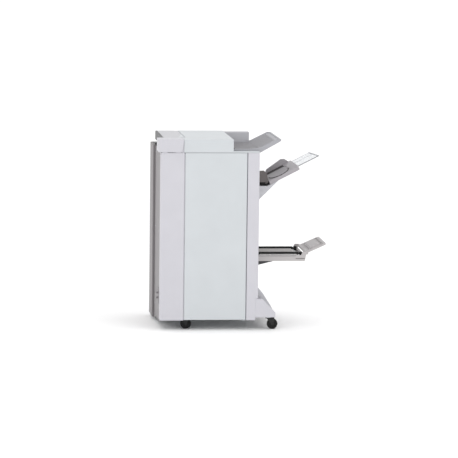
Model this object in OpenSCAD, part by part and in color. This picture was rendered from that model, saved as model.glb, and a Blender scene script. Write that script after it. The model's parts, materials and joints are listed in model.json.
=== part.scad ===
// Floor-standing copier finisher: stapling stacker with a booklet maker.
// Millimetres. Origin on the floor under the middle of the whole machine,
// +X towards the delivery trays, -Y towards the user (front door), +Z up.

/* [Cabinet] */
// Width of the cabinet without trays and docking plate
cabinet_w = 600; // [590:1:610]
// Depth of the cabinet from the front door to the back panel
cabinet_d = 650; // [640:1:660]
// Height of the right shoulder, where the top tray starts
shoulder_h = 1093; // [1085:1:1100]
// Height of the raised top cover
top_h = 1165; // [1160:1:1175]
// Gap between the floor and the lower edge of the covers
skirt_gap = 61; // [58:1:64]
// Thickness of the moulded covers
cover_t = 3; // [2.5:0.5:4]
// Thickness of the sheet-steel side plates
plate_t = 2; // [1.5:0.5:3]

/* [Front] */
// Width of the narrow cover left of the door
left_cover_w = 144; // [140:1:148]
// Width of the column right of the door
column_w = 71; // [69:1:74]
// Dark gap on the latch side of the door
door_gap = 3; // [2:0.5:5]
// Thickness of the door, which also sets the hinge pin's distance from the front
door_t = 24; // [20:1:26]

/* [Top] */
// Width of the transport bay under the grey jam cover
bay_w = 158; // [150:1:162]
// Width of the recess in which the top tray starts
recess_w = 160; // [155:1:165]

/* [Stacker tray] */
// Angle of the stacker tray above level
stack_angle = 27; // [24:0.5:29]
// Length of the stacker tray along its slope
stack_len = 203; // [190:1:205]
// Front edge of the stacker tray
stack_y0 = -234; // [-240:1:-220]
// Back edge of the stacker tray
stack_y1 = 150; // [140:1:160]
// How far the extension reaches past the tray
ext_out = 125; // [100:1:130]

/* [Booklet tray] */
// Height of the belts' shafts above the floor
belt_z = 445; // [440:1:450]
// Radius of the belt pulleys
pulley_r = 10; // [8:0.5:11]
// Angle of the end flap above level
flap_angle = 24; // [20:1:28]
// Length of the end flap from its hinge
flap_len = 134.6; // [120:0.1:134.6]

/* [Casters] */
// Radius of the caster wheels
wheel_r = 32.5; // [32:0.5:33]
// Width of the caster wheels
wheel_w = 20; // [16:1:22]
// Distance from the swivel axis to the wheel's axle
trail = 24; // [20:1:26]

/* [Rollers] */
// Radius of the roller shafts
shaft_r = 4; // [3:0.5:5]
// Radius of the rubber rollers
roller_r = 12; // [10:0.5:12.5]
// Radial running clearance of every shaft in its bore
run_fit = 0.05; // [0.02:0.01:0.09]
// Middle of the sheet's path, measured from the middle of the machine
path_y = -15; // [-20:1:-10]
// Half the width that the paper path leaves free for a sheet
path_half = 170; // [165:1:172]

/* [Hidden] */
$fn = 48;
cab_l = -510;
cab_r = cab_l + cabinet_w;
cab_f = -334;
cab_b = cab_f + cabinet_d;
total_l = -525;
total_f = -340;
total_b = 340;
cover_top = shoulder_h - 8;         // upper edge of the tall front covers
door_x0 = cab_l + left_cover_w + door_gap;
door_x1 = cab_r - column_w - 1.5;
door_z0 = skirt_gap + 3;
hinge_r = door_t / 2;
hinge_x = door_x1 - hinge_r;
hinge_y = cab_f + hinge_r;
pin_r = 3;
plate_f = -262;                     // front face of the front side plate
plate_b = 238;                      // front face of the rear side plate
plate_l = -490;
plate_r = 56;
plate_z0 = 84;
plate_z1 = shoulder_h - 15;
base_z = 80;
base_t = 4;
bay_r = cab_l + bay_w;              // right edge of the transport bay
raised_r = cab_r - recess_w;        // right face of the raised top cover
box_r = -371;                       // right edge of the transport front cover
jam_f = -194;                       // front edge of the jam cover
jam_b = 306;
dock_z0 = 20;                       // lower end of the docking plate
jam_l = -495;                       // left end of the jam cover, over the paper entry
grip_z = 1112;
mouth_x = -466;                     // face of the paper entry
box_z = cover_top + 4;              // lower edge of the transport front cover
box_slant = 11;                     // how far its right side leans
jam_t = 12;
jam_hinge_r = jam_t / 2;
jam_hinge_x = bay_r - 5;
jam_hinge_z = top_h - jam_hinge_r;
jam_pin_r = 2.5;
inner_f = plate_f + plate_t;         // inner face of the front side plate
foot_shelf_z = base_z + 26;         // top of the outrigger beams
stack_x = 346;                      // outer end of the stacker tray
stack_z = 985;
stack_t = 22;
ext_t = 4;
ext_in = 70;                        // extension length inside the tray at rest
ext_y0 = -170;
ext_y1 = 126;
booklet_x0 = cab_r;
booklet_x1 = 396;
booklet_y0 = -234;
booklet_y1 = 150;
drive_x = 112;
idler_x = 350;
belt_t = 1.5;
belt_w = 22;
belt_ys = [-154, 104];
flap_x = 400;
flap_z = 459;
flap_t = 10;
flap_y0 = -204;
flap_y1 = 124;
casters = [[-369, -262], [160, -290], [-369, 270], [160, 270]];
roller_ys = [for (d = [-126, -42, 42, 126]) path_y + d];
roller_len = 26;
entry_at = [-438, 1118];
transport_at = [-402, 1118];
top_exit_at = [-92, 1126];
eject_at = [38, 1004];
fold_r = 15;
fold_gap = 0.6;
fold_x = -20;
fold_z = 474;
fold_up_at = [fold_x, fold_z + fold_r + fold_gap / 2];
fold_low_at = [fold_x, fold_z - fold_r - fold_gap / 2];
lift_at = [14, 930];
lift_low_z = 150;
lift_r = 15;
lift_ys = [path_y - 179, path_y + 177];
rail_x = 60;
rail_w = 8;
rail_top = 960;
rail_ys = [path_y - 201, path_y + 193];
arm_ys = [path_y - 155, path_y + 115];
rail_rod_at = [-228, 846];
tamper_slope = 18;
white = "#dcdde0";
warm_white = "#d5d4d9";
grey = "#bab9bd";
mid_grey = "#a8a5a4";
dark = "#3a3a3c";
steel = "#9a9da0";
rubber_black = "#18181a";

// ---------- shared shapes ----------

// A box given by its lowest and highest corner
module block(lo, hi) {
    translate(lo) cube(hi - lo);
}

// A side view (x, z) carried along Y from y0 to y1
module side_shape(y0, y1) {
    translate([0, y1, 0]) rotate([90, 0, 0]) linear_extrude(y1 - y0) children();
}

// A round bar along Y whose centre is at = [x, z]
module bar_y(at, r, y0, y1) {
    translate([at[0], y1, at[1]]) rotate([90, 0, 0]) cylinder(r = r, h = y1 - y0);
}

// A rectangle with true round corners
module round_rect(lo, hi, r) {
    translate(lo + [r, 0]) square([hi[0] - lo[0] - 2 * r, hi[1] - lo[1]]);
    translate(lo + [0, r]) square([hi[0] - lo[0], hi[1] - lo[1] - 2 * r]);
    for (x = [lo[0] + r, hi[0] - r], y = [lo[1] + r, hi[1] - r])
        translate([x, y]) circle(r);
}

// Two round ends joined by straight sides, along the x direction
module stadium(x0, x1, r) {
    translate([x0, -r]) square([x1 - x0, 2 * r]);
    translate([x0, 0]) circle(r);
    translate([x1, 0]) circle(r);
}

// The stacker tray's own frame: u along the slope from its outer end
module on_stack_slope() {
    translate([stack_x, 0, stack_z]) rotate([0, -stack_angle, 0]) children();
}

// A shaft in both side plates with four rubber rollers and a drive pulley
module roller_shaft(at, front_y = plate_f - 6) {
    color(steel) bar_y(at, shaft_r, front_y, plate_b + 22);
    color(rubber_black) for (y = roller_ys)
        bar_y(at, roller_r, y - roller_len / 2, y + roller_len / 2);
    color("white") bar_y(at, roller_r, plate_b + 8, plate_b + 20);
}

// The grip of a knob with eight flutes, in front of the front side plate
module knob(at, r, y0, y1) {
    difference() {
        bar_y(at, r, y0, y1);
        for (a = [0 : 45 : 315])
            bar_y(at + r * [cos(a), sin(a)], r * 0.16, y0 - 1, y1 - 5);
    }
}

// ---------- base and casters ----------

module base_frame() color(steel) {
    difference() {
        block([cab_l + cover_t, cab_f + 34, base_z], [cab_r - 6, cab_b - 4, base_z + base_t]);
        for (c = [casters[0], casters[2]]) bolt_holes(c, base_z - 1, base_t + 2);
        for (x = [-250 : 90 : 20], y = [-120, 0, 120])
            translate([x, y, base_z - 1]) cylinder(r = 18, h = base_t + 2);
    }
    for (y = [casters[1][1], casters[3][1]]) difference() {
        block([cab_r - 8, y - 32, base_z], [192, y + 32, foot_shelf_z]);
        block([cab_r - 9, y - 29, base_z + base_t], [188, y + 29, foot_shelf_z - 3]);
        bolt_holes([casters[1][0], y], base_z - 1, base_t + 2);
    }
}

module bolt_holes(c, z, h) {
    for (dx = [-28, 28], dy = [-22, 22])
        translate([c[0] + dx, c[1] + dy, z]) cylinder(r = 3.3, h = h);
}

module caster_plates() color(rubber_black) for (c = casters) difference() {
    union() {
        block([c[0] - 36, c[1] - 30, base_z - 4], [c[0] + 36, c[1] + 30, base_z]);
        translate([c[0], c[1], base_z - 8]) cylinder(r = 17, h = 5);
    }
    translate([c[0], c[1], base_z - 9]) cylinder(r = 8 + run_fit, h = 10);
    bolt_holes(c, base_z - 5, 6);
}

module caster_fork(c) color(rubber_black) translate([c[0], c[1], 0]) {
    cheek = wheel_w / 2 + 2;
    translate([0, 0, 67]) cylinder(r = 8, h = 12.5);
    block([-16, -cheek - 3, 67], [trail + 12, cheek + 3, 71.5]);
    translate([0, 0, 67]) cylinder(r = 18, h = 4.5);
    for (y = [-cheek - 3, cheek]) side_shape(y, y + 3) {
        polygon([[-14, 71], [trail + 12, 71], [trail + 9, wheel_r], [trail - 9, wheel_r]]);
        translate([trail, wheel_r]) circle(9);
    }
    bar_y([trail, wheel_r], shaft_r, -cheek - 5, cheek + 5);
}

module caster_wheel(c) color(rubber_black) translate([c[0] + trail, c[1], wheel_r]) {
    w = wheel_w / 2;
    rotate([90, 0, 0]) rotate_extrude() polygon([
        [shaft_r + run_fit, -w], [9, -w], [11, 2 - w], [22, 2 - w], [24, -w], [wheel_r - 3, -w],
        [wheel_r, 3 - w], [wheel_r, w - 3], [wheel_r - 3, w], [24, w], [22, w - 2],
        [11, w - 2], [9, w], [shaft_r + run_fit, w]]);
}

module caster_fork_front_left() caster_fork(casters[0]);
module caster_fork_front_right() caster_fork(casters[1]);
module caster_fork_rear_left() caster_fork(casters[2]);
module caster_fork_rear_right() caster_fork(casters[3]);
module caster_wheel_front_left() caster_wheel(casters[0]);
module caster_wheel_front_right() caster_wheel(casters[1]);
module caster_wheel_rear_left() caster_wheel(casters[2]);
module caster_wheel_rear_right() caster_wheel(casters[3]);

// ---------- inner frame ----------

// One side plate: bores for every shaft, pressed windows, tabs for the upper shafts
module side_plate(y) {
    difference() {
        union() {
            block([plate_l, y, plate_z0], [plate_r, y + plate_t, plate_z1]);
            block([mouth_x + 13, y, plate_z1 - 1],
                  [box_r - box_slant - cover_t - 2, y + plate_t, 1142]);
            block([top_exit_at[0] - 30, y, plate_z1 - 1], [raised_r - 6, y + plate_t, 1146]);
        }
        for (at = [entry_at, transport_at, top_exit_at, eject_at, fold_up_at, fold_low_at, lift_at])
            bar_y(at, shaft_r + run_fit, y - 1, y + plate_t + 1);
        for (x = [-430 : 120 : -190], z = [150, 270, 390])
            translate([0, y, 0]) side_shape(-1, plate_t + 1)
                round_rect([x, z], [x + 90, z + 90], 12);
        for (x = [-440, -330], z = [560, 680, 940])
            translate([0, y, 0]) side_shape(-1, plate_t + 1)
                round_rect([x, z], [x + 80, z + 80], 12);
    }
}

module front_side_plate() color(steel) side_plate(plate_f);
module rear_side_plate() color(steel) side_plate(plate_b);

module cross_stays() color(steel) {
    for (at = [[-470, 130], [-470, 700], [-240, 1064], [14, 620], [0, 110], [-130, 1060]])
        bar_y(at, 7, inner_f, plate_b);
    bar_y(rail_rod_at, 6, inner_f, plate_b);
    bar_y([rail_rod_at[0], rail_rod_at[1] - 40], 4, inner_f, plate_b);
}

module elevator_rails() color("silver") for (y = rail_ys) {
    block([rail_x, y, base_z + base_t], [rail_x + rail_w, y + rail_w, rail_top]);
    block([rail_x - 4, y - 10, base_z + base_t], [rail_x + rail_w + 4, y + rail_w + 10, 92]);
    // arm that ties the rail's top to the side plate
    block([plate_r - 12, y < path_y ? inner_f : y, rail_top - 10],
          [rail_x + rail_w, y < path_y ? y + rail_w : plate_b, rail_top]);
}

// ---------- covers ----------

module front_left_cover() color(warm_white) {
    x1 = cab_l + left_cover_w;
    translate([0, 0, skirt_gap]) linear_extrude(cover_top - skirt_gap) difference() {
        union() {
            round_rect([cab_l, cab_f], [x1, cab_f + 60], 7);
            translate([cab_l, cab_f + 30]) square([left_cover_w, 30]);
        }
        translate([cab_l + cover_t, cab_f + cover_t])
            square([left_cover_w - 2 * cover_t, 60]);
        translate([x1 - cover_t - 1, cab_f + door_t + 6]) square([cover_t + 2, 60]);
    }
    for (z = [skirt_gap, cover_top - cover_t])
        block([cab_l + cover_t, cab_f + cover_t, z], [x1 - cover_t, cab_f + door_t, z + cover_t]);
}

module front_right_column() color(warm_white) {
    x0 = cab_r - column_w;
    difference() {
        translate([0, 0, skirt_gap]) linear_extrude(cover_top - skirt_gap) difference() {
            union() {
                round_rect([x0 + 20, cab_f], [cab_r, cab_f + 34], 6);
                translate([x0, cab_f]) square([40, 34]);
                translate([x0, cab_f + 14]) square([column_w, 20]);
            }
            translate([x0 + cover_t, cab_f + cover_t])
                square([column_w - 2 * cover_t, 60]);
        }
        block([cab_r - 15, cab_f - 1, skirt_gap - 1], [cab_r + 1, cab_f + 90, 193]);
    }
    block([x0 + cover_t, cab_f + cover_t, cover_top - cover_t],
          [cab_r - cover_t, cab_f + 34, cover_top]);
}

module front_door() color(white) difference() {
    translate([0, 0, door_z0]) linear_extrude(cover_top - 1 - door_z0) union() {
        translate([door_x0 + 6, cab_f]) square([hinge_x - door_x0 - 6, door_t]);
        translate([door_x0, cab_f + 6]) square([hinge_x - door_x0, door_t - 6]);
        translate([door_x0 + 6, cab_f + 6]) circle(6);
        translate([hinge_x, hinge_y]) circle(hinge_r);
    }
    block([door_x0 + cover_t, cab_f + cover_t, door_z0 + cover_t],
          [hinge_x - 14, cab_f + door_t + 1, cover_top - 1 - cover_t]);
    translate([hinge_x, hinge_y, door_z0 - 1]) cylinder(r = pin_r + run_fit, h = 21);
    translate([hinge_x, hinge_y, cover_top - 21]) cylinder(r = pin_r + run_fit, h = 21);
}

module door_hinges() color(steel) {
    low_z = skirt_gap - 2;
    block([hinge_x - 16, cab_f + 3, low_z], [hinge_x + 10, plate_f + 1, low_z + 3]);
    block([hinge_x - 16, cab_f + 31, low_z], [hinge_x + 10, cab_f + 34, base_z + 20]);
    translate([hinge_x, hinge_y, low_z]) cylinder(r = pin_r, h = 21);
    top_z = cover_top + 0.5;
    block([hinge_x - 16, cab_f + 3, top_z], [hinge_x + 10, plate_f, top_z + 3]);
    block([hinge_x - 16, plate_f - 3, plate_z1 - 40], [hinge_x + 10, plate_f, top_z + 3]);
    translate([hinge_x, hinge_y, top_z - 17]) cylinder(r = pin_r, h = 18);
}

module rear_cover() color(warm_white) difference() {
    union() {
        block([cab_l + 12, cab_b, 75], [cab_r - 6, total_b, 1085]);
        block([cab_l + 3, cab_b - 4, skirt_gap], [cab_r - 3, cab_b, shoulder_h - 3]);
        block([mouth_x, cab_b - 4, shoulder_h - 5], [bay_r - 4, cab_b, top_h - 14]);
    }
    block([cab_l + 16, cab_b - 1, 79], [cab_r - 10, total_b - cover_t, 1081]);
    for (x = [-420 : 14 : -280], z = [150, 900])
        block([x, cab_b, z], [x + 6, total_b + 1, z + 90]);
    block([-130, cab_b - 5, 130], [-86, total_b + 1, 158]);
    for (x = [cab_l + 24, -210, cab_r - 18], z = [110, 560, 1050])
        translate([x, total_b + 1, z]) rotate([90, 0, 0]) cylinder(r = 2.2, h = 12);
}

module docking_side_cover() color(mid_grey) difference() {
    block([cab_l, cab_f + 60, skirt_gap - 9], [cab_l + cover_t, cab_b - 4, 1092]);
    for (y = [-250, 20], z = [120, 600, 1060])
        translate([cab_l - 1, y, z]) rotate([0, 90, 0]) cylinder(r = 2.2, h = 5);
    for (y = [-262, -218], z = [172, 238])
        translate([cab_l - 1, y, z]) rotate([0, 90, 0]) cylinder(r = 3.3, h = 5);
}

// Plate that meets the copier's side; its lower end guards the caster behind it
module docking_plate() color(grey) translate([0, 0, dock_z0]) linear_extrude(1096 - dock_z0) union() {
    translate([total_l + 5, 90]) square([cab_l - total_l - 5, 216]);
    translate([total_l, 95]) square([cab_l - total_l, 206]);
    for (y = [95, 301]) translate([total_l + 5, y]) circle(5);
}

// Bracket with four bolt holes and two locating pins that enter the copier's side
module docking_bracket() color(steel) {
    difference() {
        block([cab_l - 3, -275, 158], [cab_l, -205, 252]);
        for (y = [-262, -218], z = [172, 238])
            translate([cab_l - 4, y, z]) rotate([0, 90, 0]) cylinder(r = 3.3, h = 5);
    }
    for (z = [190, 220]) translate([total_l, -240, z]) rotate([0, 90, 0]) cylinder(r = 6, h = 13);
}

module exit_side_cover() color(warm_white) difference() {
    block([cab_r - 6, cab_f + 34, skirt_gap], [cab_r, cab_b - 4, shoulder_h - 3]);
    for (y = arm_ys) block([cab_r - 7, y - 9, 497], [cab_r + 1, y + 9, 860]);
    block([cab_r - 7, path_y - path_half, 976], [cab_r + 1, path_y + path_half, 1040]);
    block([cab_r - 7, path_y - path_half, 462], [cab_r + 1, path_y + path_half, 500]);
    for (y = [casters[1][1], casters[3][1]])
        block([cab_r - 7, y - 33, skirt_gap - 1], [cab_r + 1, y + 33, base_z + 27]);
}

module top_cover() color(white) {
    wall_z = shoulder_h - 3;
    difference() {
        block([bay_r + 2, cab_f, wall_z], [raised_r, cab_b, top_h]);
        block([bay_r + 2 + cover_t, cab_f + cover_t, wall_z - 1],
              [raised_r - cover_t, cab_b - cover_t, top_h - cover_t]);
        block([raised_r - cover_t - 1, path_y - path_half, 1128],
              [raised_r + 1, path_y + path_half, 1146]);
    }
    block([box_r + 1, cab_f, wall_z], [bay_r + 2, cab_f + cover_t, top_h]);
    block([box_r + 1, cab_f + cover_t, top_h - cover_t], [bay_r + 3, jam_f, top_h]);
    block([raised_r, cab_f, wall_z], [cab_r, cab_b, shoulder_h]);
    block([box_r + 1, cab_f, cover_top + 1], [cab_r, cab_f + cover_t, wall_z + 1]);
    // lugs that carry the jam cover's hinge pins
    for (y = [jam_f + 1, jam_b - 8]) difference() {
        block([jam_hinge_x - 5, y, jam_hinge_z - 5], [bay_r + 3, y + 7, jam_hinge_z + 5]);
        bar_y([jam_hinge_x, jam_hinge_z], jam_pin_r + run_fit, y - 1, y + 8);
    }
}

module transport_front_cover() color(warm_white) {
    difference() {
        translate([0, 0, box_z]) linear_extrude(top_h - box_z) union() {
            translate([total_l + 8, total_f]) square([box_r - total_l - 12, 30]);
            translate([total_l, total_f + 8]) square([box_r - total_l, jam_f - total_f - 10]);
            translate([total_l + 8, total_f + 8]) circle(8);
            translate([box_r - 4, total_f + 4]) circle(4);
            translate([box_r - 8, total_f]) square([4, 10]);
        }
        // the right side leans in towards its lower edge
        side_shape(total_f - 1, jam_f) polygon([
            [box_r - box_slant, box_z - 1], [box_r, top_h + 1], [box_r + 1, top_h + 1],
            [box_r + 1, box_z - 1]]);
        side_shape(total_f + cover_t, jam_f) polygon([
            [total_l + cover_t, box_z - 1], [box_r - box_slant - cover_t, box_z - 1],
            [box_r - cover_t, top_h - cover_t], [total_l + cover_t, top_h - cover_t]]);
    }
    // feet that stand on the left cover
    for (x = [cab_l + 8, box_r - 50])
        block([x, total_f + cover_t, cover_top], [x + 30, total_f + 26, box_z + 2]);
}

// Grey cover over the transport bay, hinged along its right edge
module jam_cover() color(grey) {
    difference() {
        union() {
            block([jam_l + 12, jam_f, top_h - jam_t], [jam_hinge_x, jam_b, top_h]);
            bar_y([jam_hinge_x, jam_hinge_z], jam_hinge_r, jam_f, jam_b);
        }
        // notches for the hinge lugs
        for (y = [jam_f - 1, jam_b - 10])
            block([jam_hinge_x - 20, y, top_h - jam_t - 1], [jam_hinge_x + 10, y + 11, top_h + 1]);
        block([jam_l + 16, jam_f + 5, top_h - jam_t - 1],
              [jam_hinge_x - 34, jam_b - 5, top_h - 4]);
    }
    bar_y([jam_hinge_x, jam_hinge_z], jam_pin_r, jam_f + 2, jam_b - 2);
}

// Dark lip that is pulled to lift the jam cover
module jam_cover_grip() color(dark) {
    block([jam_l + 5, jam_f, grip_z], [jam_l + 12, jam_b, top_h]);
    block([jam_l, jam_f, grip_z], [jam_l + 5, jam_b, top_h - 5]);
    bar_y([jam_l + 5, top_h - 5], 5, jam_f, jam_b);
}

// Grey block over the top exit at the back of the recess
module eject_block() color(grey) difference() {
    block([raised_r + 2, 244, shoulder_h], [cab_r, cab_b, top_h - 3]);
    block([raised_r + 6, 250, shoulder_h - 1], [cab_r - 4, cab_b - 4, top_h - 7]);
}

// ---------- top tray ----------

module top_tray() color(grey) difference() {
    side_shape(-284, 236) polygon([
        [raised_r + 4, shoulder_h], [cab_r + 5, shoulder_h], [cab_r + 5, 1080], [208, 1143],
        [224, 1153], [226, 1164], [200, 1164], [96, 1112], [40, 1104], [raised_r + 4, 1104]]);
    // The running surface, sunk between two side lips
    side_shape(-276, 228) polygon([
        [raised_r + 3, 1100], [40, 1100], [96, 1106], [196, 1156],
        [216, 1157], [216, 1170], [raised_r + 3, 1170]]);
}

// ---------- stacker ----------

module stacker_tray() color(grey) {
    half = stack_t / 2;
    difference() {
        on_stack_slope() {
            translate([0, 0, -half]) linear_extrude(stack_t) union() {
                translate([-stack_len, stack_y0]) square([stack_len - 24, stack_y1 - stack_y0]);
                translate([-30, stack_y0 + 24]) square([30, stack_y1 - stack_y0 - 48]);
                for (y = [stack_y0 + 24, stack_y1 - 24]) translate([-24, y]) circle(24);
            }
        }
        // slot for the extension
        on_stack_slope() block([-188, ext_y0 - 2, 0], [5, ext_y1 + 2, ext_t + 2]);
    }
    // raised guide along the back edge
    side_shape(stack_y1 - 18, stack_y1) polygon([
        [176, 907], [190, 938], [262, 990], [278, 1002], [302, 1003], [322, 990], [330, 987],
        [310, 968]]);
}

// Dark end fence at the root of the stacker tray, with a guard at its front end
module stacker_fence() color(dark) {
    x0 = cab_r + 6;
    side_shape(-206, -168) polygon([
        [x0, 893], [x0, 950], [104, 960], [134, 962], [149, 948], [158, 912], [159, 889],
        [142, 884], [142, 872], [110, 872], [110, 893]]);
    side_shape(-168, 124) polygon([
        [x0, 893], [x0, 925], [154, 925], [158, 912], [159, 889],
        [142, 884], [142, 872], [110, 872], [110, 893]]);
}

// Grey bracket under the stacker tray
module stacker_support() color(grey) side_shape(stack_y0 + 4, stack_y1 - 4) polygon([
    [98, 786], [220, 907.5], [169, 881.5], [159, 876], [150, 872], [98, 872]]);

// Carriage behind the exit cover: runs on the two rails, arms reach through the slots
module stacker_carriage() color(steel) {
    block([rail_x + rail_w + 4, rail_ys[0] - 8, 800],
          [cab_r - 10, rail_ys[1] + rail_w + 8, 850]);
    for (y = rail_ys) for (s = [y - 7, y + rail_w + 1])
        block([rail_x + 1, s, 800], [rail_x + rail_w + 4, s + 6, 850]);
    for (y = arm_ys) block([cab_r - 10, y - 6, 800], [98, y + 6, 850]);
    for (y = lift_ys) block([lift_at[0] + lift_r + 4, y - 8, 818],
                            [rail_x + rail_w + 4, y + 8, 832]);
}

// Clear pull-out plate that carries long sheets; its outer edge runs askew
module tray_extension() color([0.85, 0.88, 0.9, 0.5]) on_stack_slope()
    translate([0, 0, 1]) linear_extrude(ext_t) polygon([
        [-ext_in, ext_y0], [ext_out + 20, ext_y0], [ext_out, ext_y1], [-ext_in, ext_y1]]);

// ---------- booklet tray ----------

module booklet_tray() color(mid_grey) {
    difference() {
        side_shape(booklet_y0, booklet_y1) union() {
            polygon([[booklet_x0, 411], [388, 411], [booklet_x1, 450], [booklet_x1, 468],
                     [376, 468], [364, 446], [booklet_x0, 446]]);
            for (x = [drive_x, idler_x]) translate([x, belt_z]) circle(7);
            translate([flap_x, flap_z]) circle(9);
        }
        // trough in which the belts run
        block([booklet_x0 - 1, booklet_y0 + 8, 430], [380, booklet_y1 - 8, 480]);
        // room for the flap between the two hinge lugs
        block([380, booklet_y0 + 8, 444], [420, booklet_y1 - 8, 480]);
        for (x = [drive_x, idler_x])
            bar_y([x, belt_z], pin_r + run_fit, booklet_y0 - 1, booklet_y1 + 1);
        bar_y([flap_x, flap_z], pin_r + run_fit, booklet_y0 - 1, booklet_y1 + 1);
        // shallow groove in the front side
        block([330, booklet_y0 - 1, 424], [388, booklet_y0 + 3, 428]);
    }
    // floor strips between the belts
    for (span = [[booklet_y0 + 8, belt_ys[0] - 14], [belt_ys[0] + 14, belt_ys[1] - 14],
                 [belt_ys[1] + 14, booklet_y1 - 8]])
        block([booklet_x0, span[0], 429.9], [334, span[1], 433]);
    // stop block behind the far belt
    block([364.5, belt_ys[1] - 12, 429.9], [379, belt_ys[1] + 12, 457]);
}

module booklet_bracket() color(dark) side_shape(booklet_y0 + 14, booklet_y1 - 30) polygon([
    [booklet_x0, 384], [108, 387], [204, 411], [booklet_x0, 411]]);

// Two flat belts, each round a slider bar that a bracket holds on the tray's floor
module booklet_belts() color(rubber_black) for (y = belt_ys) {
    side_shape(y - belt_w / 2, y + belt_w / 2) translate([0, belt_z]) difference() {
        stadium(drive_x, idler_x, pulley_r + 0.3 + belt_t);
        stadium(drive_x, idler_x, pulley_r + 0.3);
    }
    block([drive_x + 13, y - 9, belt_z - 8], [idler_x - 13, y + 9, belt_z + 8]);
    for (x = [150, 290]) {
        block([x, y + 5, belt_z - 4], [x + 20, y + 16, belt_z + 2]);
        block([x, y + 12, 433], [x + 20, y + 16, belt_z + 2]);
    }
}

module belt_shaft(x) {
    color(steel) bar_y([x, belt_z], pin_r, booklet_y0 + 1, booklet_y1 - 1);
    color("white") for (y = belt_ys)
        bar_y([x, belt_z], pulley_r, y - belt_w / 2 + 1, y + belt_w / 2 - 1);
}
module belt_drive_shaft() belt_shaft(drive_x);
module belt_idler_shaft() belt_shaft(idler_x);

module booklet_end_flap() color(mid_grey) {
    bar_y([flap_x, flap_z], pin_r, booklet_y0 + 1, booklet_y1 - 1);
    bar_y([flap_x, flap_z], 7, booklet_y0 + 10, booklet_y1 - 10);
    translate([flap_x, 0, flap_z]) rotate([0, -flap_angle, 0])
        translate([0, 0, -flap_t / 2]) linear_extrude(flap_t) union() {
            translate([0, flap_y0]) square([flap_len - 20, flap_y1 - flap_y0]);
            translate([flap_len - 30, flap_y0 + 20]) square([30, flap_y1 - flap_y0 - 40]);
            for (y = [flap_y0 + 20, flap_y1 - 20]) translate([flap_len - 20, y]) circle(20);
        }
}

// ---------- feet ----------

// A hollow foot from y0 to y1; wrap is the width left of the exit cover's face
module foot_cover(y0, y1, wrap) {
    difference() {
        side_shape(y0, y1) polygon([[75, 78], [200, 78], [198, 106], [119, 190], [75, 192]]);
        side_shape(y0 + cover_t, y1 - cover_t)
            polygon([[74, 77], [197, 77], [195, 105], [118, 187], [74, 189]]);
        block([60, y0 + wrap, 70], [cab_r, y1 + 1, 200]);
    }
    // shelf that rests on the outrigger beam
    block([110, y0 + 1, foot_shelf_z], [180, y1 - 1, foot_shelf_z + 2]);
}

module foot_cover_front() color(warm_white) foot_cover(cab_f, cab_f + 88, 12);
module foot_cover_rear() color(warm_white) mirror([0, 1, 0]) foot_cover(-310, -224, -1);

// Slanted kick panel between the feet
module kick_panel() color(grey) difference() {
    side_shape(cab_f + 89, 223) polygon([
        [cab_r, 262], [111, 237], [130, 214], [151, 180], [179, 137], [198, 99], [201, 84],
        [cab_r, 84]]);
    side_shape(cab_f + 92, 220) polygon([
        [cab_r - 1, 256], [109, 234], [127, 212], [148, 178], [176, 135], [195, 97], [197, 83],
        [cab_r - 1, 83]]);
}

// ---------- paper path ----------

module entry_shaft() roller_shaft(entry_at);
module transport_shaft() {
    roller_shaft(transport_at);
    color("seagreen") knob(transport_at, 17, -290, plate_f - 5);
}
module top_exit_shaft() roller_shaft(top_exit_at);
module eject_shaft() roller_shaft(eject_at);

// Dark mouth behind the docking side and the plates that lead the sheet to the rollers
module entry_guides() color(dark) {
    difference() {
        block([mouth_x, -188, 1095], [mouth_x + 12, 306, 1150]);
        block([mouth_x - 1, path_y - path_half, 1102],
              [mouth_x + 13, path_y + path_half, 1116]);
    }
    block([cab_l, -188, 1092], [mouth_x + 12, 306, 1096]);
    difference() {
        block([mouth_x + 11, path_y - path_half, 1100],
              [bay_r - 8, path_y + path_half, 1102]);
        for (at = [entry_at, transport_at], y = roller_ys)
            block([at[0] - 15, y - 16, 1099], [at[0] + 15, y + 16, 1103]);
    }
}

// Hole punch between the transport bay and the compiler, with its waste bin
module punch_unit() color(steel) {
    for (z = [[1022, 1044], [1052, 1078]])
        block([-330, path_y - path_half, z[0]], [-270, path_y + path_half, z[1]]);
    for (y = [path_y - path_half, path_y + path_half - 6])
        block([-330, y, 1044], [-270, y + 6, 1052]);
    for (d = [-120, -40, 40, 120]) translate([-300, path_y + d, 1044]) cylinder(r = 4, h = 8);
    block([-306, inner_f, 1022], [-294, plate_b, 1026]);
    // runners of the waste bin
    for (x = [-345, -265]) block([x, inner_f, 1002], [x + 10, plate_b, 1010]);
    color(dark) difference() {
        block([-335, -240, 960], [-265, 120, 1010]);
        block([-332, -237, 963], [-268, 117, 1011]);
    }
}

// Plates on which sheets are stacked square before stapling
module compiler_tray() color(steel) {
    translate([-200, 0, 900]) rotate([0, -tamper_slope, 0]) {
        difference() {
            block([0, path_y - 176, 0], [235, path_y + 176, 2]);
            for (d = [-60, 0, 60]) block([150, path_y + d - 12, -1], [236, path_y + d + 12, 3]);
        }
        for (d = [-150, -50, 50, 150])
            block([-3, path_y + d - 14, 0], [0, path_y + d + 14, 36]);
        // strips that carry the tray between the side plates
        for (u = [60, 170]) block([u, inner_f, -2], [u + 16, plate_b, 0]);
    }
}

// A tamper plate stands on the compiler tray and pushes the sheets square
module tamper(y) translate([-200, y, 900]) rotate([0, -tamper_slope, 0])
    block([24, 0, 3], [190, 3, 38]);
module front_tamper() color(dark) {
    y = path_y - 172;
    tamper(y);
    translate([-200, y, 900]) rotate([0, -tamper_slope, 0]) block([60, -14, 3], [150, 0, 6]);
}
module rear_tamper() color(dark) {
    y = path_y + 169;
    tamper(y);
    translate([-200, y, 900]) rotate([0, -tamper_slope, 0]) block([60, 3, 3], [150, 17, 6]);
}

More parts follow.
